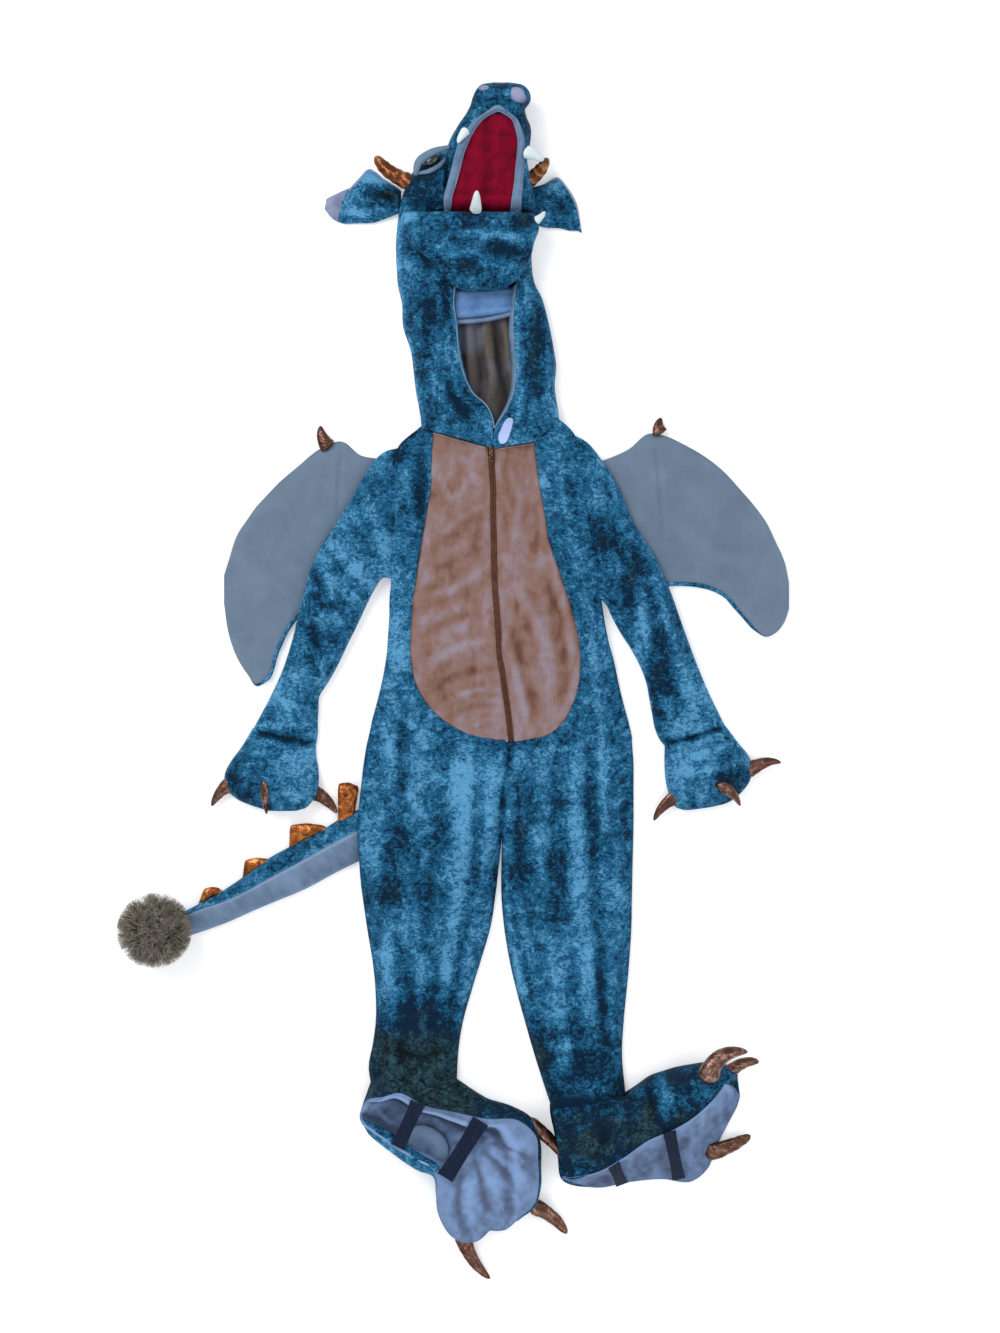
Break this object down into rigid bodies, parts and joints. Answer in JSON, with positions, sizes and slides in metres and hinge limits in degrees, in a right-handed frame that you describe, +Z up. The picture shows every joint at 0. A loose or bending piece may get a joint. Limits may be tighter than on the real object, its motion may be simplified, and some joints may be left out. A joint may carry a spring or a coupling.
{
  "type": "dragon costume",
  "caption": "Child's hooded velvet dragon jumpsuit with stuffed head, wings, tail, mitts and foot covers, laid flat on its back.",
  "frame": {"origin": "centre of the bounding box's underside, on the floor the costume lies on", "axes": "+Y from the feet to the snout, +Z up out of the front of the costume"},
  "size_m": [0.9343, 1.6603, 0.0891],
  "materials": {
    "velvet": "crushed blue velvet",
    "belly": "tan velour",
    "felt": "brushed grey felt",
    "sole": "grey brushed cloth",
    "lining": "dark satin lining",
    "zip": "brown zip tape",
    "brass": "dull brass",
    "copper": "copper coated cloth",
    "horn": "dark copper coated cloth",
    "tooth": "white felt",
    "mouth": "red brushed cloth",
    "gum": "pale blue-grey brushed cloth",
    "elastic": "navy woven elastic",
    "fur": "long grey-brown fur",
    "eye": "glossy"
  },
  "bodies": {
    "garment": {"back_left": "velvet", "back_right": "velvet", "belly_left": "belly", "belly_right": "belly", "brow_pad": "gum", "claw_foot_left_1": "copper", "claw_foot_left_2": "copper", "claw_foot_left_3": "copper", "claw_foot_right_1": "copper", "claw_foot_right_2": "copper", "claw_foot_right_3": "copper", "claw_hand_left_1": "copper", "claw_hand_left_2": "copper", "claw_hand_left_3": "copper", "claw_hand_right_1": "copper", "claw_hand_right_2": "copper", "claw_hand_right_3": "copper", "claw_wing_left": "copper", "claw_wing_right": "copper", "ear_left": "velvet", "ear_right": "velvet", "eye_left": "eye", "fang_lower_left": "tooth", "fang_upper_left": "tooth", "fang_upper_right": "tooth", "foot_left": "velvet", "foot_right": "velvet", "front_left": "velvet", "front_right": "velvet", "gum_band": "gum", "hood_left": "velvet", "hood_lining": "lining", "hood_right": "velvet", "horn_left": "horn", "horn_right": "horn", "lower_jaw": "velvet", "mitt_left": "velvet", "mitt_right": "velvet", "muzzle": "velvet", "neck_tab": "tooth", "palate": "mouth", "skull_side": "velvet", "sleeve_left": "velvet", "sleeve_right": "velvet", "sole_left": "sole", "sole_right": "sole", "strap_left_arch": "elastic", "strap_left_heel": "elastic", "strap_right": "elastic", "tail_ball": "fur", "tail_crest": "copper", "tail_top": "velvet", "tail_under": "sole", "wing_back_left": "velvet", "wing_back_right": "velvet", "wing_front_left": "felt", "wing_front_right": "felt", "zip_slider": "brass", "zip_tape": "zip"},
    "zip_tab": {"zip_pull": "brass"}
  },
  "joints": [
    {"name": "zip_tab_hinge", "type": "hinge", "parent": "garment", "child": "zip_tab", "pos_m": [0.0511, 0.3286, 0.03619], "axis": [-1, 0, 0], "range_deg": [0, 150]}
  ]
}
